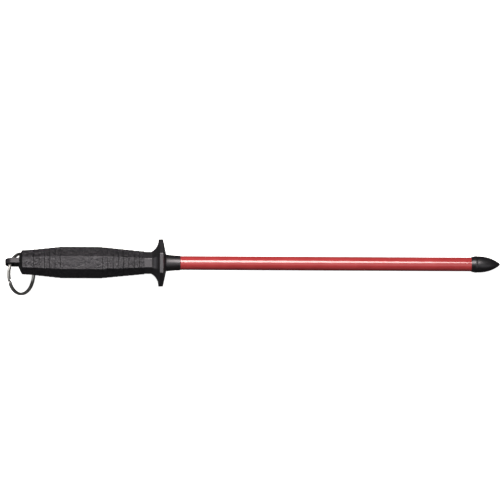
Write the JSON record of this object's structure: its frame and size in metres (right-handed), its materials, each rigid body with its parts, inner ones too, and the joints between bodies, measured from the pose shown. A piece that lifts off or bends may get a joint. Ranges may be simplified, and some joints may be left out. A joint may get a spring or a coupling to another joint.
{
  "type": "knife sharpening steel",
  "caption": "Ceramic knife sharpening rod with an octagonal ringed handle, octagonal guard, black tip cap and a hanging ring at the handle's end.",
  "frame": {"origin": "on the rod's axis at the guard's front land, where the ferrule comes out of the handle", "axes": "+X along the rod to the tip, +Z out of the guard's upper flat, +Y to the side"},
  "size_m": [0.4877, 0.0558, 0.0526],
  "materials": {
    "soft_grip": "fine leather-like grain, matte",
    "carrier_black": "smooth satin moulding",
    "cap_black": "smooth moulding",
    "pin_steel": "ground",
    "ferrule_black": "polished black",
    "red_ceramic": "fine ground, glossy red",
    "rod_steel": "bright drawn",
    "soft_sleeve": "moulded",
    "cushion_rubber": "moulded",
    "tip_black": "satin black",
    "insert_brass": "turned",
    "washer_steel": "zinc plated",
    "nut_steel": "zinc plated",
    "ring_steel": "polished nickel plate"
  },
  "bodies": {
    "handle": {"grip": "soft_grip", "handle_core": "carrier_black", "end_cap": "cap_black", "end_cap_pin": "pin_steel", "ferrule": "ferrule_black", "ceramic_sleeve": "red_ceramic", "core_rod": "rod_steel", "centring_sleeves": "soft_sleeve", "rear_cushion": "cushion_rubber", "front_cushion": "cushion_rubber", "tip_cap": "tip_black", "tip_insert": "insert_brass", "tang_washer": "washer_steel", "tang_nut": "nut_steel"},
    "ring": {"split_ring": "ring_steel"}
  },
  "joints": [
    {"name": "ring_swing", "type": "hinge", "parent": "handle", "child": "ring", "pos_m": [-0.1525, 0, 0], "axis": [0, 0.9239, -0.3827], "range_deg": [-2, 278]}
  ]
}
